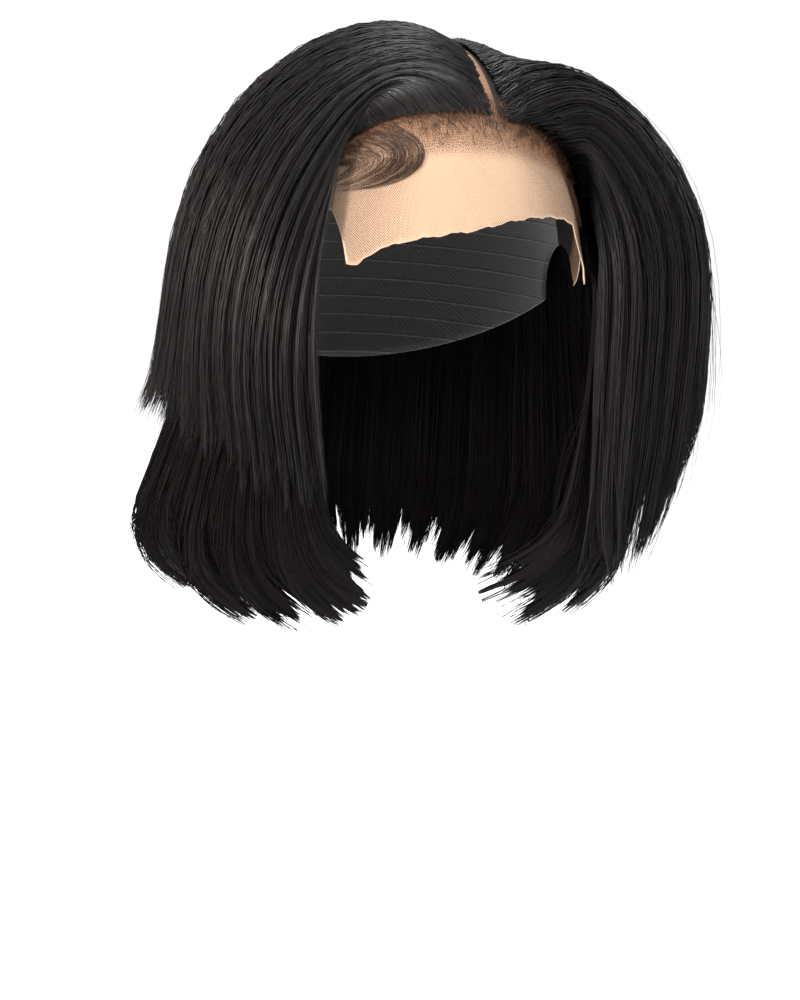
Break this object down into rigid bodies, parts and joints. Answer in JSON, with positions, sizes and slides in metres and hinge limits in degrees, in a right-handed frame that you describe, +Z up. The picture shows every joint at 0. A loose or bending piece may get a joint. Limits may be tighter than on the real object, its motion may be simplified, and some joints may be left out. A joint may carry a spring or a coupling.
{
  "type": "bob wig",
  "caption": "Straight black lace front bob wig, parted left of centre, with layered flipped ends, a lifted side, laid temple hair and an uncut lace edge.",
  "frame": {"origin": "inside of the cap's crown, where the top of the head carries the wig", "axes": "+Z up, -Y towards the face, +X towards the wearer's left"},
  "size_m": [0.2716, 0.2264, 0.279],
  "materials": {
    "black_hair": "glossy black hair",
    "fine_hair": "sparse brown-black hair",
    "sheer_lace": "sheer beige net",
    "cap_net": "matt black net"
  },
  "bodies": {
    "root": {"lace_front": "sheer_lace", "wig_cap": "cap_net", "hairline_strip": "fine_hair", "edge_swirl_right": "fine_hair", "edge_wisp_left": "fine_hair", "over_right_front": "black_hair", "over_right_side": "black_hair", "over_right_back": "black_hair", "over_left_front": "black_hair", "over_left_side": "black_hair", "over_left_back": "black_hair", "under_right": "black_hair", "under_back": "black_hair", "under_left": "black_hair"}
  },
  "joints": []
}
